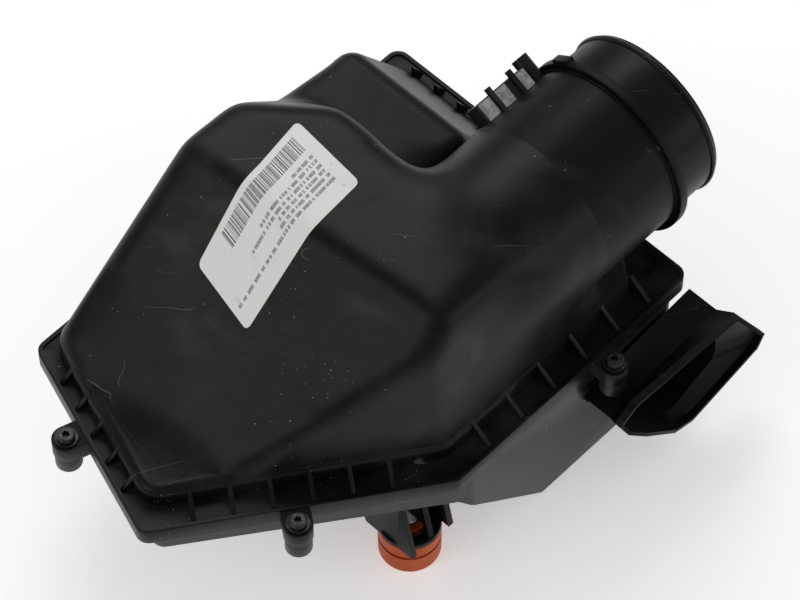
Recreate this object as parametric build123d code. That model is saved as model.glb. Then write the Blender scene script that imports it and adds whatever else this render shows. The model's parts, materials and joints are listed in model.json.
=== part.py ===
from build123d import *
import os
from math import atan2, cos, degrees, pi, radians, sin, sqrt

# Air filter housing of a car engine. Millimetres, +Z up.
# Working frame: z = 0 is the top of the cover's flange, the flange's outlet-side corner
# is at x = 0, y = 0, and the clean air leaves along +X. Everything is moved at the end so
# that the origin is the middle of the bounding box's bottom.

# ---- flange plan, outer edge ----
flange_width = 207.0
outlet_corner = (0.0, 0.0)
outlet_far_corner = (0.0, flange_width)
ramp_far_corner = (-262.7, flange_width)
ramp_near_corner = (-301.0, 91.2)
front_corner = (-170.4, 0.0)
corner_radius = 7.0

# ---- cover moulding ----
wall = 2.5
plate_thickness = 3.0
skirt_depth = 9.0
skirt_thickness = 2.4
rim_bead_width = 2.2
rim_bead_height = 1.2
dome_height = 96.0
pad_height = 11.0
inset_front = 14.0
inset_slant = 15.0
inset_ramp = 9.0
inset_far = 6.5
inset_outlet = 7.0
# How far each wall of the dome leans inwards, in degrees.
lean_front = 7.3
lean_slant = 6.0
lean_far = 1.5
lean_ramp = 3.0
# The sloping ramp: its crest's distance from the flange's corner, how far it runs in plan
# down to its foot, the foot's height, and its turn in plan in degrees.
ramp_run = 145.6
ramp_length = 97.7
ramp_foot_height = 11.0
ramp_turn = 6.0
hump_radius = 13.0
# The main hump's wall towards the outlet, and the slanted facet between it and the far wall.
hump_end = -88.0
hump_end_height = 60.0
lean_hump_end = 10.0
facet_place = (-84.0, 140.0)
facet_drop = 3.0
facet_normal = (0.76, 0.64, 0.8)
# The lower hump in the far corner.
corner_hump_radius = 11.0
corner_hump_start = -140.0
corner_hump_near = 100.0
corner_hump_crest = (-104.0, 195.0, 66.0)
corner_hump_fall = (0.16, -0.05, 1.0)
lean_corner_near = 15.0
lean_outlet = 35.0
# The saddle that carries the neck.
saddle_radius = 5.0
saddle_start = -104.0
saddle_end = -26.0
saddle_far = 118.0
lean_saddle_front = 6.6
lean_saddle_far = 12.0
lean_saddle_end = 8.0
pad_radius = 5.0
pad_corner_radius = 14.0
edge_margin = 0.5
gusset_thickness = 2.2
gusset_foot = 0.6
gusset_height = 11.0
gusset_tip = 2.8
# For each side: first gusset, step and number, measured along the side.
gusset_rows = {
    "front": (-26.9, -23.6, 6),
    "slant": (-32.5, -19.9, 6),
    "ramp": (-27.3, -17.5, 5),
    "far": (-26.0, -23.6, 10),
    "outlet": (186.8, -16.3, 4),
}

# ---- clean air outlet ----
neck_y = 59.5
neck_z = 56.5
neck_radius = 48.0
neck_start = -92.0
neck_root_start = -128.0
neck_root_radius = 37.5
neck_end = 2.0
neck_lip = 1.2
collar_length = 5.2
collar_radius = 52.0
collar_gap = 0.05
collar_lug_angle = 52.0
collar_lug_height = 4.0
collar_lug_width = 12.0
spigot_radius = 46.6
spigot_end = 29.5
spigot_bead = 1.5
shoulder_gap = 0.4
plug_length = 20.0
plug_clearance = 0.35
ring_section = 1.3
ring_clearance = 0.08
ring_side_gap = 0.2

# ---- sensor port on the neck ----
port_tilt = 27.5
port_start = -47.0
port_length = 34.0
port_depth = 15.0
port_corner = 2.0
port_top = 58.0
port_slot_length = 26.0
port_slot_depth = 8.0
port_rib_reach = 3.5
port_rib_proud = 2.4
port_rib_thickness = 2.4
port_slot_corner = 3.0
port_ribs = (-36.5, -21.5)
port_strips = ((-46.2, -38.4), (-34.6, -27.4), (-19.6, -13.8))
liner_thickness = 0.8
liner_gap = 0.05
liner_margin = 0.4
boss_radius = 4.6
boss_reach = 62.5
boss_x = -8.0
boss_bore = 1.8
sensor_thread_radius = 1.25

# ---- cover screws and their lugs ----
press_gap = 0.05
screw_shank_radius = 2.5
screw_point = 0.8
screw_head_radius = 4.6
screw_head_height = 4.2
screw_head_round = 0.9
washer_radius = 6.0
washer_thickness = 1.2
screw_length = 18.0
screw_hole_clearance = 0.8
thread_clearance = 0.06
screw_seat_gap = 0.3
socket_depth = 2.4
socket_radius = 1.6
socket_lobe = 0.55
screw_along = {"front": -66.3, "slant": -82.3, "ramp": -66.8, "far": -125.0, "outlet": 112.0}
lug_radius = 7.6
lug_offset = 8.5
lug_depth = 10.0
lug_top = 0.4
lug_gap = 0.3
bush_wall = 1.2
bush_clearance = 0.1
insert_wall = 1.4
insert_length = 13.0
base_insert_length = 8.0
lower_boss_radius = 7.0
lower_boss_depth = 20.4
lower_boss_web = 4.0
corner_well = (-12.5, 23.0)
well_radius = 8.5
well_depth = 2.0

# ---- filter element ----
seal_thickness = 5.4
seal_width = 9.0
seat_gap = 0.3
filter_depth = 26.0
seal_inset = 5.2
frame_wall = 3.0
frame_corner_radius = 3.0
paper_thickness = 0.9
paper_gap = 0.2
paper_foot = 1.0
pleat_pitch = 7.0
# Glue beads: their places across the housing as shares of its width.
bead_shares = (0.27, 0.5, 0.73)
bead_width = 3.0
bead_height = 2.0
bead_gap = 0.3

# ---- lower housing ----
base_wall = 2.6
base_inset = 3.4
base_step = 4.0
base_far_step = 7.6
tray_depth = 39.0
tray_end_depth = 33.0
sump_depth = 105.0
sump_edge = -95.0
sump_slope_end = -162.0
sump_inset = 5.5
base_edge_radius = 9.0
seat_plate = 3.0
drain_place = (-50.0, 120.0)
drain_radius = 7.0
drain_recess = 5.0
drain_margin = 4.0
drain_flange = 2.5
drain_flange_thickness = 1.6
drain_bulge = 1.2
drain_slit = 1.2

# ---- raw air duct ----
mouth_y = -28.0
bell_depth = 4.0
throat_y = -17.0
duct_end_y = 1.4
duct_wall = 2.2
duct_clearance = 0.5
duct_plug_length = 12.0
gasket_thickness = 1.6
gasket_width = 3.0
mouth_outline = [
    (-70.0, -13.5), (9.0, -19.5), (33.5, -63.0), (29.0, -72.5), (-21.0, -86.5),
    (-35.0, -82.0), (-59.0, -57.0), (-74.0, -38.0), (-81.5, -22.0),
]
throat_outline = [
    (-68.0, -26.0), (3.0, -17.5), (9.0, -60.0), (6.0, -69.0), (-24.0, -83.0),
    (-37.0, -79.0), (-58.0, -57.0), (-71.0, -42.0), (-76.0, -32.0),
]
plug_outline = [
    (-69.0, -32.0), (-14.0, -32.0), (-14.0, -74.0), (-28.0, -76.0), (-56.0, -52.0), (-69.0, -40.0),
]

# ---- feet ----
foot_radius = 16.5
foot_height = 24.0
foot_edge_radius = 1.5
foot_groove = 1.6
foot_groove_width = 2.4
foot_waist = 0.55
foot_stem_radius = 8.0
foot_stem_proud = 2.0
sleeve_radius = 5.2
sleeve_bore = 4.2
sleeve_recess = 1.0
bracket_plate = 3.5
bracket_spread = 17.0
bracket_rib = 3.5
bracket_top_reach = 20.0
bracket_gap = 0.3
bracket_hole_gap = 3.0
bracket_clear = 10.0
# Each foot: its place, and how far its bracket leans along Y towards its top.
feet = {"front": (-170.0, 34.0, 14.0), "rear": (-196.0, 162.0, -12.0)}

# ---- label ----
# Plan view of the label: over the crest of the dome and down its ramp on the far edge, then back.
label_thickness = 0.25
label_gap = 0.05
label_outline = [
    (-118.2, 161.8), (-149.0, 156.0), (-198.3, 151.8), (-204.7, 111.5), (-154.0, 111.5), (-122.8, 113.9),
]
label_corner_radius = 3.0


def unit(x, y, z=0.0):
    return Vector(x, y, z).normalized()


def inward(first, second):
    """Unit normal of an edge of the flange, pointing into the housing."""
    run = Vector(second[0] - first[0], second[1] - first[1], 0)
    return unit(run.Y, -run.X)


front_in = Vector(0, 1, 0)
slant_in = inward(ramp_near_corner, front_corner) * -1
ramp_in = inward(ramp_far_corner, ramp_near_corner) * -1
far_in = Vector(0, -1, 0)
outlet_in = Vector(-1, 0, 0)

# Each side: a point on its outer edge, the inward normal.
sides = {
    "front": (Vector(*outlet_corner, 0), front_in),
    "slant": (Vector(*front_corner, 0), slant_in),
    "ramp": (Vector(*ramp_near_corner, 0), ramp_in),
    "far": (Vector(*ramp_far_corner, 0), far_in),
    "outlet": (Vector(*outlet_corner, 0), outlet_in),
}


def crossing(first, second, first_inset, second_inset):
    """Where two sides meet when each is moved inwards by its own inset."""
    (p, n), (q, m) = sides[first], sides[second]
    a, b = n.dot(p) + first_inset, m.dot(q) + second_inset
    det = n.X * m.Y - n.Y * m.X
    return ((a * m.Y - b * n.Y) / det, (b * n.X - a * m.X) / det)


def plan(insets):
    """Corner points of the five-sided plan, with one inset or one for each side."""
    order = ["front", "slant", "ramp", "far", "outlet"]
    if not isinstance(insets, dict):
        insets = {name: insets for name in order}
    pairs = zip(order, order[1:] + order[:1])
    return [crossing(a, b, insets[a], insets[b]) for a, b in pairs]


def prism(insets, low, high, radius=0.0):
    """Upright block on the housing's plan from z = low to z = high."""
    face = make_face(Polyline(*plan(insets), close=True))
    if radius > 0:
        face = fillet(face.vertices(), radius)
    return extrude(Pos(0, 0, low) * face, high - low)


def ring(outer_inset, inner_inset, low, high, radius):
    """Upright five-sided ring."""
    outer = prism(outer_inset, low, high, radius)
    inner = prism(inner_inset, low - 1, high + 1, max(radius - inner_inset + outer_inset, 1.5))
    return outer - inner


def tube_along_x(radius, start, end):
    return Pos(start, neck_y, neck_z) * Rot(0, 90, 0) * Cylinder(
        radius, end - start, align=(Align.CENTER, Align.CENTER, Align.MIN))


def upright(x, y, low, high, radius):
    return Pos(x, y, low) * Cylinder(
        radius, high - low, align=(Align.CENTER, Align.CENTER, Align.MIN))


def leaning(normal, angle):
    """Outward normal of a wall that leans inwards by an angle as it rises."""
    c = cos(radians(angle))
    return Vector(normal.X * c, normal.Y * c, sin(radians(angle)))


def cut_block(planes, inset, radius, low=0.0):
    """Convex block bounded by planes, all moved inwards by inset, with rounded edges."""
    middle = (ramp_near_corner[0] / 2, flange_width / 2, low)
    block = Pos(*middle) * Box(2 * flange_width, 2 * flange_width, dome_height + 10 - low,
                               align=(Align.CENTER, Align.CENTER, Align.MIN))
    for point, normal in planes:
        normal = normal.normalized()
        block = split(block, bisect_by=Plane(origin=point - normal * inset, z_dir=normal),
                      keep=Keep.BOTTOM)
    edges = block.edges().filter_by(lambda e: e.center().Z > low + edge_margin)
    return fillet(edges, radius - inset)


def side_plane(name, inset, angle):
    point, normal = sides[name]
    return (point + normal * inset, leaning(normal * -1, angle))


turn = radians(ramp_turn)
ramp_slope = (dome_height - ramp_foot_height) / ramp_length
ramp_point = Vector(-ramp_run * cos(turn), -ramp_run * sin(turn), dome_height)
ramp_normal = Vector(-ramp_slope * cos(turn), -ramp_slope * sin(turn), 1)

main_planes = [
    (Vector(0, 0, dome_height), Vector(0, 0, 1)),
    side_plane("front", inset_front, lean_front),
    side_plane("slant", inset_slant, lean_slant),
    side_plane("far", inset_far, lean_far),
    side_plane("ramp", inset_ramp, lean_ramp),
    (ramp_point, ramp_normal),
    (Vector(hump_end, 0, hump_end_height), leaning(Vector(1, 0, 0), lean_hump_end)),
    (Vector(*facet_place, dome_height - facet_drop), Vector(*facet_normal)),
]
corner_planes = [
    (Vector(*corner_hump_crest), Vector(*corner_hump_fall)),
    side_plane("far", inset_far, lean_far),
    side_plane("outlet", inset_outlet, lean_outlet),
    (Vector(corner_hump_start, 0, 0), Vector(-1, 0, 0)),
    (Vector(0, corner_hump_near, 0), leaning(Vector(0, -1, 0), lean_corner_near)),
]
saddle_planes = [
    (Vector(0, 0, neck_z), Vector(0, 0, 1)),
    side_plane("front", inset_front, lean_saddle_front),
    (Vector(0, saddle_far, 0), leaning(Vector(0, 1, 0), lean_saddle_far)),
    (Vector(saddle_end, 0, 0), leaning(Vector(1, 0, 0), lean_saddle_end)),
    (Vector(saddle_start, 0, 0), Vector(-1, 0, 0)),
]
main_radius = min(hump_radius, dome_height / 6)
dome_insets = {"front": inset_front, "slant": inset_slant, "ramp": inset_ramp,
               "far": inset_far, "outlet": inset_outlet}
pad_outline = {**dome_insets, "outlet": -saddle_start}


def dome(inset):
    """The raised part of the cover, or with an inset of one wall, its hollow."""
    low = -plate_thickness - 1 if inset else 0.0
    pad_insets = {name: value + inset for name, value in pad_outline.items()}
    pad = prism(pad_insets, low, pad_height - inset, pad_corner_radius - inset)
    pad = fillet(pad.faces().sort_by(Axis.Z)[-1].edges(), pad_radius - inset)
    shape = pad + cut_block(main_planes, inset, main_radius, low)
    shape += cut_block(corner_planes, inset, corner_hump_radius, low)
    shape += cut_block(saddle_planes, inset, saddle_radius, low)
    shape += tube_along_x(neck_radius - inset, neck_start, neck_end + inset)
    root = Cone(neck_root_radius - inset, neck_radius - inset, neck_start - neck_root_start,
                align=(Align.CENTER, Align.CENTER, Align.MIN))
    return shape + Pos(neck_root_start, neck_y, neck_z) * Rot(0, 90, 0) * root


# ---- cover screws ----
def on_side(name, along, offset):
    """Point at a distance along a side from its own point, moved outwards by offset."""
    point, normal = sides[name]
    run = Vector(normal.Y, -normal.X, 0)
    place = point + run * along - normal * offset
    return (place.X, place.Y)


lug_sides = ["front", "slant", "ramp", "far", "outlet"]
screw_places = [on_side(name, screw_along[name], lug_offset) for name in lug_sides]
hole_radius = screw_shank_radius + screw_hole_clearance
bush_radius = hole_radius + bush_wall


def side_angle(name):
    normal = sides[name][1]
    return degrees(atan2(normal.Y, normal.X))


def ear(place, name, low, high, radius, reach, width):
    """Round ear about a screw, with a web that runs to the housing's wall."""
    web = Pos(place[0], place[1], low) * Rot(0, 0, side_angle(name)) * Box(
        reach, width, high - low, align=(Align.MIN, Align.CENTER, Align.MIN))
    return upright(*place, low, high, radius) + web


def gusset(foot, normal, inset):
    """Upright triangular rib from the flange's rim to the dome's wall."""
    reach = inset - gusset_tip + wall
    outline = [(0, -1), (0, gusset_foot), (reach, gusset_height), (reach, -1)]
    rib = extrude(make_face(Polyline(*outline, close=True)), gusset_thickness / 2, both=True)
    frame = Plane(origin=foot + normal * gusset_tip, x_dir=normal, z_dir=normal.cross(Vector(0, 0, 1)))
    return frame * rib


def gussets():
    ribs = []
    for name, (first, pitch, count) in gusset_rows.items():
        point, normal = sides[name]
        run = Vector(normal.Y, -normal.X, 0)
        for index in range(count):
            foot = point + run * (first + pitch * index)
            ribs.append(gusset(foot, normal, dome_insets[name]))
    return ribs


# ---- sensor port ----
port_normal = Vector(0, cos(radians(port_tilt)), sin(radians(port_tilt)))
port_frame = Plane(origin=(0, neck_y, neck_z), x_dir=(1, 0, 0), z_dir=port_normal)
port_middle = port_start + port_length / 2


def port_block(length, depth, low, high, radius):
    """Rounded block on the neck's flank, between two distances from the neck's axis."""
    face = Rectangle(length, depth)
    face = fillet(face.vertices(), radius)
    return port_frame * Pos(port_middle, 0, low) * extrude(face, high - low)


def port_post(x, radius, low, high):
    return port_frame * Pos(x, 0, low) * Cylinder(
        radius, high - low, align=(Align.CENTER, Align.CENTER, Align.MIN))


def port_bar(x, width, low, high, start, depth):
    """Bar on the port's upper face."""
    return port_frame * Pos(x, -start, low) * Box(
        width, depth, high - low, align=(Align.CENTER, Align.MAX, Align.MIN))


def build_cover():
    """Cover moulding: flange and skirt, domed chamber, outlet neck and sensor port."""
    shell = prism(0, -plate_thickness, 0, corner_radius)
    shell += ring(0, skirt_thickness, -skirt_depth, 0, corner_radius)
    shell += ring(0, rim_bead_width, -1, rim_bead_height, corner_radius)
    for place, name in zip(screw_places, lug_sides):
        shell += ear(place, name, lug_top - lug_depth, lug_top, lug_radius, lug_offset + 2, 2 * lug_radius)
    shell += dome(0)
    for rib in gussets():
        shell += rib
    inner_reach = neck_radius - 2 * wall
    shell += port_block(port_length, port_depth, inner_reach, port_top, port_corner)
    shell += port_post(boss_x, boss_radius, inner_reach, boss_reach)
    shell += tube_along_x(neck_radius + neck_lip, neck_end - collar_length - 1, neck_end)
    for x in port_ribs:
        shell += port_bar(x, port_rib_thickness, inner_reach, port_top + port_rib_reach,
                          port_depth / 2 - 1, port_rib_proud + 1)
    shell -= dome(wall)
    shell -= port_block(port_slot_length, port_slot_depth, inner_reach - 10, port_top + 1, port_slot_corner)
    shell -= port_post(boss_x, boss_bore, boss_reach - insert_length, boss_reach + 1)
    for x, y in screw_places:
        shell -= upright(x, y, -skirt_depth - 5, lug_top + 30, bush_radius + bush_clearance)
    return shell - upright(*corner_well, -well_depth, 3, well_radius)


def build_bushes():
    """Steel spacers that the screws clamp, one in each screw hole of the cover."""
    low = lug_top - lug_depth
    return Compound(children=[
        upright(x, y, low, lug_top, bush_radius) - upright(x, y, low - 1, lug_top + 1, hole_radius)
        for x, y in screw_places])


def build_screw(x, y):
    """Pan-head screw with a washer face and a six-lobed socket, seated on its bush."""
    seat = lug_top + screw_seat_gap
    top = seat + screw_head_height
    shank = upright(x, y, seat - screw_length, seat + 1, screw_shank_radius)
    shank = chamfer(shank.edges().sort_by(Axis.Z)[0], screw_point)
    head = upright(x, y, seat, top, screw_head_radius)
    head = fillet(head.edges().sort_by(Axis.Z)[-1], screw_head_round)
    head += upright(x, y, seat, seat + washer_thickness, washer_radius)
    socket = upright(x, y, top - socket_depth, top + 1, socket_radius)
    for lobe in range(6):
        angle = lobe * pi / 3
        socket += upright(x + socket_radius * cos(angle), y + socket_radius * sin(angle),
                          top - socket_depth, top + 1, socket_lobe)
    return shank + head - socket


def build_screws():
    return Compound(children=[build_screw(*place) for place in screw_places])


# ---- outlet ----
neck_bore = neck_radius - wall
plug_radius = neck_bore - plug_clearance
pipe_bore = plug_radius - wall
pipe_start = neck_end + shoulder_gap
groove_start = pipe_start - plug_length / 2
groove_end = groove_start + 2 * (ring_section + ring_side_gap)
groove_floor = neck_bore - ring_clearance - 2 * ring_section - press_gap


def build_spigot():
    """Outlet pipe with a hose bead at its mouth, plugged into the neck."""
    pipe = tube_along_x(spigot_radius, pipe_start, spigot_end)
    pipe += tube_along_x(plug_radius, pipe_start - plug_length, pipe_start + 2)
    bead_place = Pos(spigot_end - 2 * spigot_bead, neck_y, neck_z)
    pipe += bead_place * Rot(0, 90, 0) * Torus(spigot_radius, spigot_bead)
    pipe -= tube_along_x(pipe_bore, pipe_start - plug_length - 1, spigot_end + 5)
    groove = tube_along_x(plug_radius + 1, groove_start, groove_end)
    return pipe - (groove - tube_along_x(groove_floor, groove_start - 1, groove_end + 1))


def build_outlet_ring():
    """Rubber sealing ring in the pipe's groove."""
    middle = (groove_start + groove_end) / 2
    radius = groove_floor + press_gap + ring_section
    return Pos(middle, neck_y, neck_z) * Rot(0, 90, 0) * Torus(radius, ring_section)


def build_collar():
    """Clamping band round the neck's mouth, with one locating lug."""
    start = neck_end - collar_length
    band = tube_along_x(collar_radius, start, neck_end)
    lug_angle = radians(collar_lug_angle)
    lug_place = Pos(start, neck_y + collar_radius * cos(lug_angle), neck_z + collar_radius * sin(lug_angle))
    band += lug_place * Rot(collar_lug_angle, 0, 0) * Box(
        collar_length, collar_lug_height, collar_lug_width, align=(Align.MIN, Align.CENTER, Align.CENTER))
    return band - tube_along_x(neck_radius + neck_lip + collar_gap, start - 1, neck_end + 1)


def build_liner():
    """Aluminium strips laid on the sensor port's upper face, between its ribs."""
    strips = []
    for start, end in port_strips:
        low, high = neck_radius - liner_margin, port_top - liner_margin
        strips.append(port_bar((start + end) / 2, end - start, low, high,
                               port_depth / 2 + liner_gap, liner_thickness))
    return Compound(children=strips)


def build_boss_insert():
    """Threaded brass insert in the sensor's screw post."""
    low = boss_reach - insert_length + 1
    tube = port_post(boss_x, boss_bore - press_gap, low, boss_reach)
    return tube - port_post(boss_x, sensor_thread_radius, low - 1, boss_reach + 1)


# ---- label ----
def build_label():
    """Plain paper label that lies on the dome's roof and bends over onto its ramp."""
    face = make_face(Polyline(*label_outline, close=True))
    ends = [label_outline[index] for index in (0, 2, 3, 5)]
    corners = [v for v in face.vertices() if min(abs(v.X - x) + abs(v.Y - y) for x, y in ends) < label_gap]
    column = extrude(fillet(corners, label_corner_radius), dome_height + 5)
    sheet = cut_block(main_planes, -label_gap - label_thickness, main_radius)
    return column & (sheet - cut_block(main_planes, -label_gap, main_radius))


# ---- filter element ----
seal_high = -plate_thickness - seat_gap
seal_low = seal_high - seal_thickness
seat_top = seal_low - seat_gap
pack_low = seal_high - filter_depth
paper_inset = seal_inset + seal_width + frame_wall
paper_corner_radius = 2.0


def build_seal():
    """Soft rim of the filter element, squeezed between cover and lower housing."""
    return ring(seal_inset, seal_inset + seal_width + 1, seal_low, seal_high, corner_radius)


def build_filter_frame():
    """Moulded border that hangs under the seal and holds the pleats."""
    inset = seal_inset + seal_width
    return ring(inset, inset + frame_wall, pack_low, seal_low, frame_corner_radius)


def build_pleats():
    """One folded sheet of filter paper; the folds run across the housing."""
    left = ramp_near_corner[0]
    top, low = seal_high - bead_height, pack_low + paper_foot
    count = int(-left / pleat_pitch)
    crease = [(left + index * pleat_pitch / 2, top if index % 2 else low) for index in range(2 * count + 1)]
    rise = paper_thickness * sqrt(1 + ((top - low) / (pleat_pitch / 2)) ** 2) / 2
    outline = [(x, z + rise) for x, z in crease] + [(x, z - rise) for x, z in reversed(crease)]
    sheet = extrude(Plane.XZ * make_face(Polyline(*outline, close=True)), 2 * flange_width, both=True)
    return sheet & prism(paper_inset + paper_gap, pack_low + paper_gap, top, paper_corner_radius)


def build_filter_beads():
    """Lines of glue across the folds that keep them apart."""
    strips = []
    for share in bead_shares:
        strip = Pos(0, flange_width * share, seal_high - bead_height + press_gap) * Box(
            4 * flange_width, bead_width, bead_height - bead_gap, align=(Align.CENTER, Align.CENTER, Align.MIN))
        strips.append(strip & prism(paper_inset + paper_gap, pack_low, seal_high, paper_corner_radius))
    return Compound(children=strips)


# ---- lower housing ----
lower_boss_top = lug_top - lug_depth - lug_gap
insert_radius = screw_shank_radius + thread_clearance + insert_wall
base_outline = {"front": base_inset, "slant": base_inset + base_far_step, "ramp": base_inset + base_far_step,
                "far": base_inset + base_step, "outlet": sump_inset}


def base_profile(inset):
    """Side view of the floor: a shallow tray, a slope and a deep sump."""
    slope = atan2(sump_depth - tray_depth, sump_edge - sump_slope_end)
    shift = inset * (1 - cos(slope)) / sin(slope)
    left = ramp_near_corner[0] - 20
    return [
        (left, inset - tray_end_depth), (sump_slope_end + shift, inset - tray_depth),
        (sump_edge + shift, inset - sump_depth), (20, inset - sump_depth), (20, 10), (left, 10),
    ]


def base_block(inset, high):
    """Solid shape of the lower housing, or with an inset of its inside."""
    outline = {name: value + inset for name, value in base_outline.items()}
    block = prism(outline, -sump_depth - 5, high, corner_radius - inset)
    side = extrude(Plane.XZ * make_face(Polyline(*base_profile(inset), close=True)), 400, both=True)
    block = block & side
    return fillet(block.faces().sort_by(Axis.Z)[0].edges(), base_edge_radius - inset)


def build_base():
    """Lower housing with its seat for the seal, screw bosses, duct opening and drain."""
    shell = base_block(0, seat_top)
    shell += prism(base_inset, seat_top - seat_plate, seat_top, corner_radius)
    for place, name in zip(screw_places, lug_sides):
        shell += ear(place, name, -lower_boss_depth, lower_boss_top, lower_boss_radius,
                     lug_offset + base_outline[name] + 1, lower_boss_web)
    shell -= base_block(base_wall, seat_top - seat_plate)
    window_inset = seal_inset + seal_width - 1
    shell -= prism(window_inset, seat_top - seat_plate - 1, seat_top + 1, frame_corner_radius)
    for x, y in screw_places:
        shell -= upright(x, y, lower_boss_top - base_insert_length - 1, lower_boss_top + 1, insert_radius + press_gap)
    shell -= duct_block(plug_outline, -duct_clearance, duct_end_y, base_inset + base_wall + 1)
    x, y = drain_place
    well = drain_radius + drain_margin
    shell += upright(x, y, -sump_depth, -sump_depth + drain_recess + base_wall, well + base_wall)
    shell -= upright(x, y, -sump_depth - 1, -sump_depth + drain_recess, well)
    return shell - upright(x, y, -sump_depth - 1, -sump_depth + drain_recess + base_wall + 1, drain_radius)


def build_base_inserts():
    """Threaded brass inserts that the cover screws bite into."""
    inserts = []
    for x, y in screw_places:
        low = lower_boss_top - base_insert_length
        tube = upright(x, y, low, lower_boss_top, insert_radius)
        inserts.append(tube - upright(x, y, low - 1, lower_boss_top + 1, screw_shank_radius + thread_clearance))
    return Compound(children=inserts)


def build_drain():
    """Rubber drain valve: a flanged plug with a slit, pushed into the sump's floor."""
    x, y = drain_place
    floor = -sump_depth + drain_recess
    top = floor + base_wall
    valve = upright(x, y, floor - drain_flange_thickness, floor, drain_radius + drain_flange)
    valve += upright(x, y, floor - 1, top + 1, drain_radius - press_gap)
    valve += upright(x, y, top, top + drain_flange_thickness, drain_radius + drain_bulge)
    return valve - Pos(x, y, floor) * Box(drain_radius, drain_slit, 4 * drain_recess)


# ---- raw air duct ----
def duct_face(outline, inset, y):
    """Outline of the duct at one Y place, moved inwards by inset."""
    face = make_face(Polyline(*outline, close=True))
    if inset:
        face = offset(face, -inset, kind=Kind.INTERSECTION)
    return Plane(origin=(0, y, 0), x_dir=(1, 0, 0), z_dir=(0, -1, 0)) * face


def duct_block(outline, inset, start, end):
    """Straight stretch of the duct between two Y places."""
    return extrude(duct_face(outline, inset, end), end - start)


def build_duct():
    """Raw air intake: a flared mouth, a throat along the housing, and a plug into it."""
    bell_y = mouth_y + bell_depth
    stop = duct_end_y + duct_plug_length
    shapes = []
    for inset, extra in ((0, 0), (duct_wall, 1)):
        flare = loft([duct_face(mouth_outline, inset, bell_y), duct_face(throat_outline, inset, throat_y)])
        shape = duct_block(mouth_outline, inset, mouth_y - extra, bell_y) + flare
        shape += duct_block(throat_outline, inset, throat_y, duct_end_y - inset)
        shape += duct_block(plug_outline, inset, throat_y, stop + extra)
        shapes.append(shape)
    return shapes[0] - shapes[1]


def build_gasket():
    """Foam gasket between the duct's shoulder and the housing's wall."""
    outer = duct_block(plug_outline, -gasket_width - duct_clearance, duct_end_y, duct_end_y + gasket_thickness)
    return outer - duct_block(plug_outline, -press_gap, duct_end_y - 1, duct_end_y + gasket_thickness + 1)


# ---- feet ----
def bracket_low():
    return foot_height - sump_depth


def build_bracket(x, y, lean):
    """Ribbed arm under the tray, with a plate that holds a rubber foot."""
    high, low = -tray_end_depth, bracket_low()
    plate_height = bracket_plate + tray_depth - tray_end_depth
    top = y + lean
    outline = [(top - bracket_top_reach, high), (top + bracket_top_reach, high),
               (y + foot_radius, low), (y - foot_radius, low)]
    arm = Pos(x, y, low) * Cylinder(foot_radius, bracket_plate, align=(Align.CENTER, Align.CENTER, Align.MIN))
    arm += Pos(x, top, high) * Box(
        2 * bracket_spread, 2 * bracket_top_reach, plate_height, align=(Align.CENTER, Align.CENTER, Align.MAX))
    side = make_face(Polyline(*outline, close=True))
    for place in (-bracket_spread + bracket_rib, 0, bracket_spread - bracket_rib):
        arm += extrude(Plane(origin=(x + place, 0, 0), x_dir=(0, 1, 0), z_dir=(1, 0, 0)) * side,
                       bracket_rib / 2, both=True)
    back = y + lean * 0.5
    arm += Pos(x, back, (high + low) / 2) * Box(2 * bracket_spread - 2 * bracket_rib, bracket_rib, high - low)
    arm -= base_block(-bracket_gap, seat_top)
    hole_top = low + bracket_plate + bracket_clear
    return arm - upright(x, y, low - 1, hole_top, foot_stem_radius + bracket_hole_gap)


def build_foot(x, y):
    """Rubber foot with a groove round its waist and a stem in its bracket's plate."""
    low = -sump_depth
    foot = upright(x, y, low, low + foot_height, foot_radius)
    foot = fillet(foot.edges(), foot_edge_radius)
    waist = low + foot_waist * foot_height
    groove = upright(x, y, waist, waist + foot_groove_width, foot_radius + 1)
    foot -= groove - upright(x, y, waist - 1, waist + foot_groove_width + 1, foot_radius - foot_groove)
    stem_top = low + foot_height + bracket_plate + foot_stem_proud
    foot += upright(x, y, low + foot_height - 1, stem_top, foot_stem_radius)
    return foot - upright(x, y, low - 1, stem_top + 1, sleeve_radius + press_gap)


def build_sleeve(x, y):
    """Steel sleeve inside a foot, for the stud it is mounted on."""
    low = -sump_depth + sleeve_recess
    high = -sump_depth + foot_height + bracket_plate + foot_stem_proud
    return upright(x, y, low, high, sleeve_radius) - upright(x, y, low - 1, high + 1, sleeve_bore)


parts = {
    "cover_shell": build_cover(),
    "cover_screw_bushes": build_bushes(),
    "cover_screws": build_screws(),
    "outlet_collar": build_collar(),
    "outlet_pipe": build_spigot(),
    "outlet_seal_ring": build_outlet_ring(),
    "sensor_port_liner": build_liner(),
    "sensor_post_insert": build_boss_insert(),
    "blank_label": build_label(),
    "filter_seal": build_seal(),
    "filter_frame": build_filter_frame(),
    "filter_pleats": build_pleats(),
    "filter_glue_beads": build_filter_beads(),
    "lower_housing": build_base(),
    "base_inserts": build_base_inserts(),
    "drain_valve": build_drain(),
    "intake_duct": build_duct(),
    "duct_gasket": build_gasket(),
}
for foot_name, (foot_x, foot_y, foot_lean) in feet.items():
    parts[f"{foot_name}_foot_bracket"] = build_bracket(foot_x, foot_y, foot_lean)
    parts[f"{foot_name}_rubber_foot"] = build_foot(foot_x, foot_y)
    parts[f"{foot_name}_foot_sleeve"] = build_sleeve(foot_x, foot_y)

# The origin goes to the middle of the bottom of the box round everything.
boxes = [piece.bounding_box() for piece in parts.values()]
middle_x = (min(b.min.X for b in boxes) + max(b.max.X for b in boxes)) / 2
middle_y = (min(b.min.Y for b in boxes) + max(b.max.Y for b in boxes)) / 2
floor_z = min(b.min.Z for b in boxes)
shift = Location((-middle_x, -middle_y, -floor_z))

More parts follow.
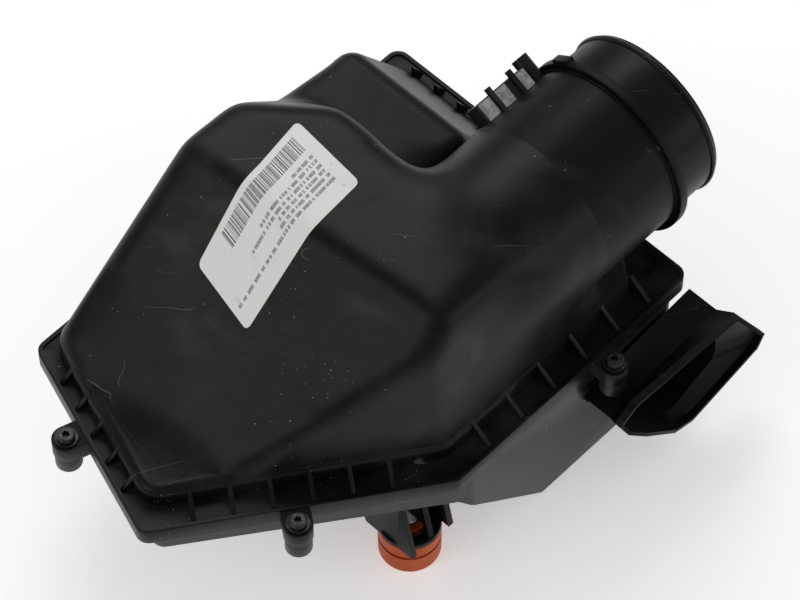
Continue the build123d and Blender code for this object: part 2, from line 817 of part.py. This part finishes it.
os.makedirs("parts", exist_ok=True)
for name, piece in parts.items():
    export_step(shift * piece, f"parts/{name}.step")
print("origin in the working frame", round(middle_x, 3), round(middle_y, 3), round(floor_z, 3))
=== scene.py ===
import json
import math

import bpy
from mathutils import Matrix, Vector


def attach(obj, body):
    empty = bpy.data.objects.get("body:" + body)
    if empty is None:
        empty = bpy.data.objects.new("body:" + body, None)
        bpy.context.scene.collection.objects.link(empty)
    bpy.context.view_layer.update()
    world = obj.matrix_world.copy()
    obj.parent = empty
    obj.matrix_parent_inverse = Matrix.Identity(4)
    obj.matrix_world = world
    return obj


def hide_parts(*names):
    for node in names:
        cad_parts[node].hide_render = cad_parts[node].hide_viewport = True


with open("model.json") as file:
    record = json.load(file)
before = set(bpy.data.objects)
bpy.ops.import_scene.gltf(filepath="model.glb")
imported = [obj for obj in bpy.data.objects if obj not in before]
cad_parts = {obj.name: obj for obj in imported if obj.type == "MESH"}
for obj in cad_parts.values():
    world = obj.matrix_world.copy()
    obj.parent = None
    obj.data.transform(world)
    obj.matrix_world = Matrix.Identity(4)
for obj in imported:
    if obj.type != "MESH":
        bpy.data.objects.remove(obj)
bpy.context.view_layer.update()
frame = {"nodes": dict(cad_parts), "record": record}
nodes = frame["nodes"]
mounts = {m["name"]: m for m in frame["record"]["mounts"]}

# the flange's outlet-side corner on top of the flange; every spot below is in mm from it
outletPlace = Vector(mounts["outlet_pipe_outside"]["pos_m"])
corner = outletPlace - Vector((0.0137, 0.0595, 0.0565))


def spot(x, y, z):
    return corner + Vector((x, y, z)) * 0.001


# one socket of a material; sums written on it add Math nodes
class Wire:
    def __init__(self, finish, socket):
        self.finish = finish
        self.socket = socket

    def math(self, operation, first, second, clamp=False):
        return self.finish.node("ShaderNodeMath", {"operation": operation, "use_clamp": clamp},
                                {0: first, 1: second})

    def __add__(self, other):
        return self.math("ADD", self, other)

    def __radd__(self, other):
        return self.math("ADD", other, self)

    def __sub__(self, other):
        return self.math("SUBTRACT", self, other)

    def __rsub__(self, other):
        return self.math("SUBTRACT", other, self)

    def __mul__(self, other):
        return self.math("MULTIPLY", self, other)

    def __rmul__(self, other):
        return self.math("MULTIPLY", other, self)

    def __lt__(self, other):
        return self.math("LESS_THAN", self, other)

    def __gt__(self, other):
        return self.math("GREATER_THAN", self, other)

    def clamped(self):
        return self.math("ADD", self, 0.0, clamp=True)


class Finish:
    def __init__(self, name):
        self.material = bpy.data.materials.new(name)
        self.material.use_nodes = True
        self.tree = self.material.node_tree
        self.tree.nodes.clear()
        self.coords = self.node("ShaderNodeTexCoord", output="Object")

    # any node: its type, its settings, then the values or wires of its sockets
    def node(self, kind, settings=None, sockets=None, output=0):
        made = self.tree.nodes.new(kind)
        for name, value in (settings or {}).items():
            setattr(made, name, value)
        for name, value in (sockets or {}).items():
            if isinstance(value, Wire):
                self.tree.links.new(value.socket, made.inputs[name])
            elif isinstance(value, tuple) and len(value) == 3 and made.inputs[name].type == "RGBA":
                made.inputs[name].default_value = (*value, 1)
            else:
                made.inputs[name].default_value = value
        return Wire(self, made.outputs[output]) if made.outputs else None

    def place(self, centre=(0, 0, 0), turn=(0, 0, 0), scale=(1, 1, 1)):
        return self.node("ShaderNodeMapping", {"vector_type": "TEXTURE"},
                         {"Vector": self.coords, "Location": centre, "Rotation": turn, "Scale": scale})

    def noise(self, scale, detail=3.0, rough=0.5, distortion=0.0, where=None):
        return self.node("ShaderNodeTexNoise", {"noise_dimensions": "3D"},
                         {"Vector": where or self.coords, "Scale": scale, "Detail": detail,
                          "Roughness": rough, "Distortion": distortion})

    # cells' distance, for specks and pits
    def cells(self, scale, randomness=1.0, where=None):
        return self.node("ShaderNodeTexVoronoi", {"feature": "F1"},
                         {"Vector": where or self.coords, "Scale": scale, "Randomness": randomness},
                         output="Distance")

    def ramp(self, value, low, high, bottom=0.0, top=1.0):
        return self.node("ShaderNodeMapRange", {"clamp": True, "interpolation_type": "SMOOTHSTEP"},
                         {"Value": value, "From Min": low, "From Max": high, "To Min": bottom, "To Max": top})

    # two colours mixed by a share; the sockets of colours are the Mix node's 6 and 7
    def blend(self, share, first, second):
        return self.node("ShaderNodeMix", {"data_type": "RGBA"}, {0: share, 6: first, 7: second}, output=2)

    def bump(self, height, depth, strength=1.0, below=None):
        sockets = {"Height": height, "Distance": depth, "Strength": strength}
        if below:
            sockets["Normal"] = below
        return self.node("ShaderNodeBump", sockets=sockets)

    def finishWith(self, color, rough, normal=None, metal=0.0, **fixed):
        sockets = {"Base Color": color, "Roughness": rough, "Metallic": metal}
        if normal:
            sockets["Normal"] = normal
        for name, value in fixed.items():
            sockets[name] = value
        shader = self.node("ShaderNodeBsdfPrincipled", sockets=sockets, output="BSDF")
        self.node("ShaderNodeOutputMaterial", sockets={"Surface": shader})
        return self.material


# tones are linear; scuffs scales dust, scratches and specks together
coverLook = {"tone": (0.0036, 0.0037, 0.0033), "dusty": (0.06, 0.058, 0.05),
             "rough": 0.38, "scuffs": 1.7, "shine": 0.17}
neckLook = {"tone": (0.0034, 0.0035, 0.0033), "dusty": (0.035, 0.035, 0.032),
            "rough": 0.31, "scuffs": 0.9, "shine": 0.2}
baseLook = {"tone": (0.01, 0.0096, 0.008), "dusty": (0.13, 0.115, 0.082),
            "rough": 0.36, "scuffs": 1.3, "shine": 0.25}
ductLook = {"tone": (0.0036, 0.0037, 0.0035), "dusty": (0.022, 0.022, 0.02),
            "rough": 0.45, "scuffs": 0.7, "shine": 0.14}


# black moulded plastic: fine spark grain, faint cloudy dust, hairline scratches and pale specks
def mouldedPlastic(name, look, grain=1.0):
    f = Finish(name)
    clouds = f.ramp(f.noise(14, 5, 0.62), 0.42, 0.8)
    patches = f.ramp(f.noise(55, 6, 0.6, 0.6), 0.5, 0.82)
    streaks = f.ramp(f.noise(34, 5, 0.55, where=f.place(turn=(0.3, 0.5, 0.7), scale=(1, 7, 1))), 0.56, 0.84)
    specks = (f.cells(330) < 0.07) * f.ramp(f.noise(23, 2), 0.56, 0.66)
    crumbs = (f.cells(120) < 0.035) * f.ramp(f.noise(11, 2), 0.5, 0.6)
    # hairlines lie where a stretched noise crosses its middle, only inside a few rubbed patches
    field = f.noise(46, 1, 0.3, 0.2, where=f.place(turn=(0.2, 0.9, 1.1), scale=(1, 9, 1)))
    scratches = (field > 0.4965) * (field < 0.5035) * f.ramp(f.noise(26, 2), 0.6, 0.68)
    amount = look["scuffs"]
    dust = (clouds * 0.22 + patches * 0.24 * clouds + streaks * 0.26) * amount
    color = f.blend(dust.clamped(), look["tone"], look["dusty"])
    color = f.blend((scratches * 0.35 * amount).clamped(), color, (0.16, 0.16, 0.15))
    color = f.blend(((specks * 0.55 + crumbs * 0.75) * amount).clamped(), color, (0.42, 0.41, 0.38))
    rough = look["rough"] + clouds * 0.1 + patches * 0.09 - streaks * 0.05 + scratches * 0.08
    skin = f.bump(f.noise(1500, 3, 0.6) * grain, 0.00006, 0.55)
    wavy = f.bump(f.noise(30, 3, 0.5), 0.0006, 0.22, skin)
    nicked = f.bump(scratches * -1.0 + specks * 1.2, 0.00008, 0.7, wavy)
    return f.finishWith(color, rough.clamped(), nicked, **{"Specular IOR Level": look["shine"]})


def rubberFinish(name, tone, pale, rough):
    f = Finish(name)
    smear = f.ramp(f.noise(42, 4, 0.6), 0.42, 0.75)
    pits = f.cells(900) < 0.2
    color = f.blend(smear * 0.6, tone, pale)
    color = f.blend(f.ramp(f.noise(130, 4, 0.7), 0.55, 0.78) * 0.5, color, (0.02, 0.018, 0.015))
    normal = f.bump(pits * -1.0 + f.noise(700, 3, 0.6), 0.00009, 0.5)
    return f.finishWith(color, rough + smear * 0.12, normal, **{"Specular IOR Level": 0.2})


def metalFinish(name, tone, dark, rough, pitting=1.0, metal=1.0):
    f = Finish(name)
    blotch = f.ramp(f.noise(260, 5, 0.65), 0.38, 0.68)
    color = f.blend(blotch * 0.7, tone, dark)
    grit = f.noise(1300, 4, 0.7)
    normal = f.bump(grit + f.noise(420, 3, 0.5), 0.00022 * pitting, 0.8)
    return f.finishWith(color, rough + blotch * 0.2, normal, metal)


def paperFinish(name):
    f = Finish(name)
    fibres = f.noise(900, 4, 0.6, where=f.place(scale=(1, 3, 1)))
    grime = f.ramp(f.noise(60, 4, 0.6), 0.45, 0.8)
    color = f.blend(fibres * 0.3, (0.62, 0.54, 0.38), (0.5, 0.42, 0.28))
    color = f.blend(grime * 0.4, color, (0.25, 0.21, 0.15))
    return f.finishWith(color, 0.85 + fibres * 0.1, f.bump(fibres, 0.0001, 0.6))


# off-white label: bars along one long edge and plain rows of dashes, all in the label's own UV
def labelFinish():
    f = Finish("labelPaper")
    uv = f.node("ShaderNodeUVMap", {"uv_map": "labelPlan"})
    along = f.node("ShaderNodeSeparateXYZ", sockets={"Vector": uv}, output="X")
    across = f.node("ShaderNodeSeparateXYZ", sockets={"Vector": uv}, output="Y")

    def within(value, low, high):
        return (value > low) * (value < high)

    # bars of uneven width: a stretched one-dimensional noise, cut at a level
    barField = f.node("ShaderNodeTexNoise", {"noise_dimensions": "1D"},
                      {"W": along, "Scale": 118.0, "Detail": 1.0, "Roughness": 0.4})
    bars = (barField > 0.5) * within(along, 0.085, 0.79) * within(across, 0.7, 0.92)
    ink = bars
    rows = [(0.6, 0.085, 0.27), (0.53, 0.085, 0.6), (0.455, 0.085, 0.73), (0.385, 0.085, 0.5),
            (0.315, 0.085, 0.52), (0.24, 0.085, 0.97)]
    for index, (level, start, end) in enumerate(rows):
        dashes = f.node("ShaderNodeTexNoise", {"noise_dimensions": "1D"},
                        {"W": along + 3.7 * index, "Scale": 46.0, "Detail": 0.0, "Roughness": 0.5})
        strokes = f.node("ShaderNodeTexNoise", {"noise_dimensions": "2D"},
                         {"Vector": uv, "Scale": 260.0, "Detail": 0.0})
        row = within(across, level - 0.021, level + 0.021) * within(along, start, end)
        ink = ink + row * (dashes > 0.44) * (strokes > 0.42)
    stain = f.ramp(f.noise(70, 4, 0.6), 0.5, 0.8)
    fibres = f.noise(1100, 3, 0.6)
    paper = f.blend(stain * 0.35, (0.9, 0.885, 0.86), (0.76, 0.73, 0.69))
    paper = f.blend(f.ramp(f.noise(160, 3, 0.6), 0.66, 0.74) * 0.4, paper, (0.3, 0.28, 0.26))
    color = f.blend((ink * 0.9).clamped(), paper, (0.03, 0.03, 0.035))
    normal = f.bump(fibres + f.noise(45, 2) * 4.0, 0.00006, 0.5)
    return f.finishWith(color, 0.5 + stain * 0.12, normal)


coverPlastic = mouldedPlastic("coverPlastic", coverLook)
neckPlastic = mouldedPlastic("pipePlastic", neckLook, 0.4)
basePlastic = mouldedPlastic("basePlastic", baseLook)
ductPlastic = mouldedPlastic("ductPlastic", ductLook)
blackRubber = rubberFinish("blackRubber", (0.012, 0.012, 0.012), (0.03, 0.03, 0.028), 0.6)
orangeRubber = rubberFinish("orangeRubber", (0.5, 0.075, 0.006), (0.33, 0.04, 0.003), 0.42)
greyRubber = rubberFinish("filterRimRubber", (0.03, 0.03, 0.032), (0.06, 0.06, 0.06), 0.65)
castAluminium = metalFinish("castAluminium", (0.56, 0.55, 0.53), (0.2, 0.195, 0.185), 0.42, 1.6, 0.75)
blackSteel = metalFinish("blackScrewSteel", (0.05, 0.05, 0.05), (0.02, 0.02, 0.02), 0.32, 0.5, 0.9)
platedSteel = metalFinish("platedSteel", (0.5, 0.5, 0.5), (0.28, 0.27, 0.25), 0.3, 0.4)
brassMetal = metalFinish("turnedBrass", (0.6, 0.42, 0.16), (0.35, 0.22, 0.08), 0.32, 0.4)
filterPaper = paperFinish("filterPaper")
glueFinish = rubberFinish("glueBeads", (0.6, 0.58, 0.5), (0.45, 0.42, 0.34), 0.4)
labelPaper = labelFinish()
print("finishes ready")


def deselectAll():
    for o in bpy.context.selected_objects:
        o.select_set(False)


def only(piece):
    deselectAll()
    bpy.context.view_layer.objects.active = piece
    piece.select_set(True)


def modify(piece, kind, **settings):
    only(piece)
    modifier = piece.modifiers.new(kind.lower(), kind)
    for name, value in settings.items():
        setattr(modifier, name, value)
    bpy.ops.object.modifier_apply(modifier=modifier.name)
    return piece


def named(name):
    piece = bpy.context.active_object
    piece.name = name
    piece.data.name = name
    return piece


# edit mode on one piece, all of it selected
def openPiece(piece, select="SELECT"):
    only(piece)
    bpy.ops.object.mode_set(mode="EDIT")
    bpy.ops.mesh.select_all(action=select)


def closePiece():
    bpy.ops.object.mode_set(mode="OBJECT")


def settle(piece):
    only(piece)
    bpy.ops.object.transform_apply(location=True, rotation=True, scale=True)
    return piece


def smooth(piece, angle=35):
    only(piece)
    bpy.ops.object.shade_smooth_by_angle(angle=math.radians(angle))
    return piece


def dress(piece, material, body, slotName, *replaced):
    piece.data.materials.clear()
    piece.data.materials.append(material)
    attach(piece, body)
    if replaced:
        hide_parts(*replaced)
    return piece


# a new piece with its own copy of another's mesh
def twin(source, name):
    deselectAll()
    piece = bpy.data.objects.new(name, source.data.copy())
    bpy.context.scene.collection.objects.link(piece)
    piece.data.materials.clear()
    return piece


# a separate merged copy of a CAD node's mesh
def copyOf(node, name):
    piece = twin(nodes[node], name)
    openPiece(piece)
    bpy.ops.mesh.remove_doubles(threshold=0.00001)
    closePiece()
    return piece


# cuts a piece with a plane and throws away the side the normal points to
def cutAway(piece, place, normal, fill=True):
    openPiece(piece)
    bpy.ops.mesh.bisect(plane_co=place, plane_no=normal, use_fill=fill, clear_outer=True)
    closePiece()
    return piece


def joined(pieces, name):
    only(pieces[0])
    for piece in pieces[1:]:
        piece.select_set(True)
    bpy.ops.object.join()
    return named(name)


# crisp copy of a CAD node with its edges broken by a fine round
def softened(node, name, edge=0.0004, angle=40, segments=2):
    piece = copyOf(node, name)
    openPiece(piece)
    bpy.ops.mesh.dissolve_limited(angle_limit=math.radians(0.6))
    closePiece()
    modify(piece, "BEVEL", width=edge, segments=segments, limit_method="ANGLE",
           angle_limit=math.radians(angle), use_clamp_overlap=True, harden_normals=False)
    smooth(piece, 32)
    return piece


# CAD pieces that keep their shape get their finish here
kept = {
    "cover_screw_bushes": platedSteel, "cover_screws": blackSteel, "outlet_collar": ductPlastic,
    "outlet_pipe": neckPlastic, "outlet_seal_ring": blackRubber, "sensor_port_liner": castAluminium,
    "sensor_post_insert": brassMetal, "filter_seal": greyRubber, "filter_frame": ductPlastic,
    "filter_pleats": filterPaper, "filter_glue_beads": glueFinish, "lower_housing": basePlastic,
    "base_inserts": brassMetal, "drain_valve": blackRubber, "intake_duct": ductPlastic,
    "duct_gasket": blackRubber, "cover_shell": coverPlastic, "blank_label": labelPaper,
}
for foot in ("front", "rear"):
    kept[foot + "_foot_bracket"] = ductPlastic
    kept[foot + "_rubber_foot"] = orangeRubber
    kept[foot + "_foot_sleeve"] = platedSteel
for node, material in kept.items():
    nodes[node].data.materials.clear()
    nodes[node].data.materials.append(material)

floorLook = {"size": 6.0, "tone": (0.93, 0.93, 0.92), "glow": 0.4}


def buildFloor():
    f = Finish("paleFloor")
    tone = f.blend(f.noise(3, 3) * 0.05, floorLook["tone"], (0.88, 0.88, 0.87))
    f.finishWith(tone, 0.85, **{"Emission Color": (1.0, 1.0, 0.995), "Emission Strength": floorLook["glow"]})
    bpy.ops.mesh.primitive_plane_add(size=floorLook["size"], location=(0, 0, -0.0005))
    floor = named("floor")
    floor.data.materials.append(f.material)
    settle(floor)


def softLight(name, place, target, size, power):
    lamp = bpy.data.lights.new(name, "AREA")
    lamp.shape = "RECTANGLE"
    lamp.size, lamp.size_y = size
    lamp.energy = power
    holder = bpy.data.objects.new(name, lamp)
    bpy.context.scene.collection.objects.link(holder)
    holder.location = place
    holder.rotation_euler = (Vector(target) - Vector(place)).to_track_quat("-Z", "Y").to_euler()


# the cover's raised part is remeshed and relaxed, so humps, ramp and neck flow together as in a moulding;
# flange, ribs, port and mouth stay crisp; places are mm from the flange's corner
domeLook = {
    "seam": 11.6, "padSeam": 6.5, "padEnd": -186, "padBorder": 1.5, "crispEnd": -53.0, "cell": 1.5,
    "overlap": 14, "underside": 4, "edge": 0.0005, "far": 400,
    # where the skin is relaxed: x, greatest y, z, rounds, and whether only inside the pad's planes
    "zones": [
        {"x": (-400, -56), "y": 400, "z": (13, 400), "rounds": 10},
        {"x": (-146, -61), "y": 132, "z": (24, 400), "rounds": 150},
        {"x": (-150, -58), "y": 400, "z": (18, 400), "rounds": 20},
        {"x": (-400, -160), "y": 400, "z": (7, 48), "rounds": 400, "onPad": True},
        {"x": (-400, -56), "y": 400, "z": (13, 400), "rounds": 10},
    ],
}


# vertices picked in code by a test on their place, then relaxed
def relax(piece, test, repeat, factor=0.5):
    openPiece(piece, "DESELECT")
    bpy.ops.mesh.select_mode(type="VERT")
    closePiece()
    for vertex in piece.data.vertices:
        vertex.select = test((vertex.co - corner) * 1000)
    bpy.ops.object.mode_set(mode="EDIT")
    bpy.ops.mesh.vertices_smooth(factor=factor, repeat=repeat)
    closePiece()


# upright planes inside the low pad at the ramp's foot: a point in plan and the way out of the housing
padPlanes = [((-301 + 15 * 0.949, 91.2 - 15 * 0.314), (-0.949, 0.314)),
             ((-170.4 + 21 * 0.573, 21 * 0.82), (-0.573, -0.82)), ((0, 194.5), (0, 1))]


# how far inside the pad's planes a place lies
def padDepth(p):
    return min((x - p.x) * nx + (y - p.y) * ny for (x, y), (nx, ny) in padPlanes)


def cutBlock(low, high):
    bpy.ops.mesh.primitive_cube_add(size=1)
    block = named("cutBlock")
    block.scale = high - low
    block.location = (high + low) / 2
    return settle(block)


def trimToPad(piece):
    for place, out in padPlanes:
        cutAway(piece, spot(*place, 0), (*out, 0))
    return cutAway(piece, spot(domeLook["padEnd"], 0, 0), (1, 0, 0))


def inZone(p, zone):
    (left, right), (low, high) = zone["x"], zone["z"]
    inside = left < p.x < right and p.y < zone["y"] and low < p.z < high
    return inside and (not zone.get("onPad") or padDepth(p) > domeLook["padBorder"])


def buildDome():
    seam, low, edge, far = (domeLook[key] for key in ("seam", "padSeam", "crispEnd", "far"))
    skin = copyOf("cover_shell", "domeSkin")
    cutAway(skin, spot(0, 0, domeLook["underside"]), (0, 0, -1))
    cutAway(skin, spot(edge + domeLook["overlap"], 0, 0), (1, 0, 0))
    modify(skin, "REMESH", mode="VOXEL", voxel_size=domeLook["cell"] * 0.001)
    for zone in domeLook["zones"]:
        relax(skin, lambda p: inZone(p, zone), zone["rounds"])
    cutAway(skin, spot(edge, 0, 0), (1, 0, 0))
    # the skin's low part over the pad, and its part above the ribs
    pad = twin(skin, "padSkin")
    cutAway(pad, spot(0, 0, seam), (0, 0, 1))
    cutAway(pad, spot(0, 0, low), (0, 0, -1))
    trimToPad(pad)
    cutAway(skin, spot(0, 0, seam), (0, 0, -1))
    smooth(skin, 60)
    smooth(pad, 60)
    rim = copyOf("cover_shell", "coverMoulding")
    for block in (cutBlock(spot(-far, -60, seam), spot(edge, 300, 200)),
                  trimToPad(cutBlock(spot(-far, -60, low), spot(-100, 300, seam + 1)))):
        modify(rim, "BOOLEAN", operation="DIFFERENCE", object=block, solver="EXACT")
        bpy.data.objects.remove(block)
    modify(rim, "BEVEL", width=domeLook["edge"], segments=2, limit_method="ANGLE",
           angle_limit=math.radians(42))
    smooth(rim, 34)
    cover = joined([rim, skin, pad], "coverMoulding")
    return dress(cover, coverPlastic, "cover", "cover_plastic", "cover_shell")


domeCover = buildDome()
print("cover moulding ready", len(domeCover.data.polygons))

# paper label: corners and crest places in plan, mm from the flange's corner, far edge first
labelLook = {
    "far": [(-118.2, 161.8), (-149.0, 156.8), (-198.3, 151.8)],
    "near": [(-122.8, 113.9), (-154.0, 111.5), (-204.7, 111.5)],
    "crest": 0.34, "cells": (92, 46), "round": 3.2, "thickness": 0.0002, "lift": 0.00012,
}


def buildLabel():
    long, wide = labelLook["cells"]
    bpy.ops.mesh.primitive_grid_add(x_subdivisions=long, y_subdivisions=wide, size=1, calc_uvs=True)
    label = named("paperLabel")
    label.data.uv_layers[0].name = "labelPlan"
    crest, radius = labelLook["crest"], labelLook["round"]

    # a place along one long edge, bent gently at the crest
    def edgePlace(edge, share):
        first, middle, last = (Vector(q) for q in edge)
        control = middle * 2 - (first * (1 - crest) + last * crest)
        control = middle + (control - middle) * 0.4
        if share < crest:
            return first.lerp(middle, share / crest)
        return middle.lerp(last, (share - crest) / (1 - crest))

    for vertex in label.data.vertices:
        along, across = (vertex.co.x + 0.5) * long, (0.5 - vertex.co.y) * wide
        # the four corners are rounded
        x = min(along, long - along)
        y = min(across, wide - across)
        if x < radius and y < radius:
            gap = math.hypot(radius - x, radius - y)
            if gap > radius:
                x = radius - (radius - x) * radius / gap
                y = radius - (radius - y) * radius / gap
                along = x if along < long / 2 else long - x
                across = y if across < wide / 2 else wide - y
        far = edgePlace(labelLook["far"], along / long)
        near = edgePlace(labelLook["near"], along / long)
        place = far.lerp(near, across / wide)
        vertex.co = spot(place.x, place.y, 130)
    modify(label, "SHRINKWRAP", target=domeCover, wrap_method="PROJECT", use_project_z=True,
           use_negative_direction=True, use_positive_direction=False, offset=labelLook["lift"])
    openPiece(label)
    bpy.ops.mesh.normals_make_consistent(inside=False)
    closePiece()
    if label.data.polygons[0].normal.z < 0:
        openPiece(label)
        bpy.ops.mesh.flip_normals()
        closePiece()
    modify(label, "SOLIDIFY", thickness=labelLook["thickness"], offset=1.0)
    smooth(label, 50)
    return dress(label, labelPaper, "cover", "label_paper", "blank_label")


buildLabel()
print("label ready")

# mouldings with their edges broken
edgeLook = {"intake_duct": ("airDuct", ductPlastic, "duct", "duct_plastic", 0.0006),
            "lower_housing": ("lowerTray", basePlastic, "base", "base_plastic", 0.0005),
            "outlet_pipe": ("hosePipe", neckPlastic, "outlet", "pipe_plastic", 0.0005),
            "outlet_collar": ("neckBand", ductPlastic, "cover", "collar_plastic", 0.0005),
            "front_foot_bracket": ("frontFootArm", ductPlastic, "base", "bracket_plastic", 0.0005),
            "rear_foot_bracket": ("rearFootArm", ductPlastic, "base", "bracket_plastic", 0.0005)}
for node, (name, material, body, slotName, edge) in edgeLook.items():
    piece = softened(node, name, edge)
    dress(piece, material, body, slotName, node)
print("softened mouldings ready")

deselectAll()
buildFloor()
# each light: its place, what it points at, its size and power
studioLights = {
    "keyLight": ((0.95, 1.0, 1.75), (0, 0, 0.1), (1.2, 1.2), 14),
    "rampLight": ((-1.75, 0.45, 1.25), (-0.08, 0, 0.1), (1.0, 1.0), 7),
    "frontLight": ((0.9, -1.7, 0.7), (0, 0, 0.05), (1.2, 0.7), 4),
}
for lightName, setting in studioLights.items():
    softLight(lightName, *setting)
world = bpy.data.worlds.new("studio")
world.use_nodes = True
world.node_tree.nodes["Background"].inputs["Color"].default_value = (1, 1, 1, 1)
world.node_tree.nodes["Background"].inputs["Strength"].default_value = 0.36
bpy.context.scene.world = world
bpy.context.scene.view_settings.view_transform = "Standard"

cameraLook = {"place": (-908.797, -674.013, 1703.876), "forward": (0.39137, 0.37876, -0.83867), "lens": 180}
camera = bpy.data.cameras.new("mainCamera")
camera.lens = cameraLook["lens"]
camera.sensor_width = 36
cameraHolder = bpy.data.objects.new("mainCamera", camera)
bpy.context.scene.collection.objects.link(cameraHolder)
cameraHolder.location = spot(*cameraLook["place"])
cameraHolder.rotation_euler = Vector(cameraLook["forward"]).to_track_quat("-Z", "Y").to_euler()
bpy.context.scene.camera = cameraHolder
print("stage ready")
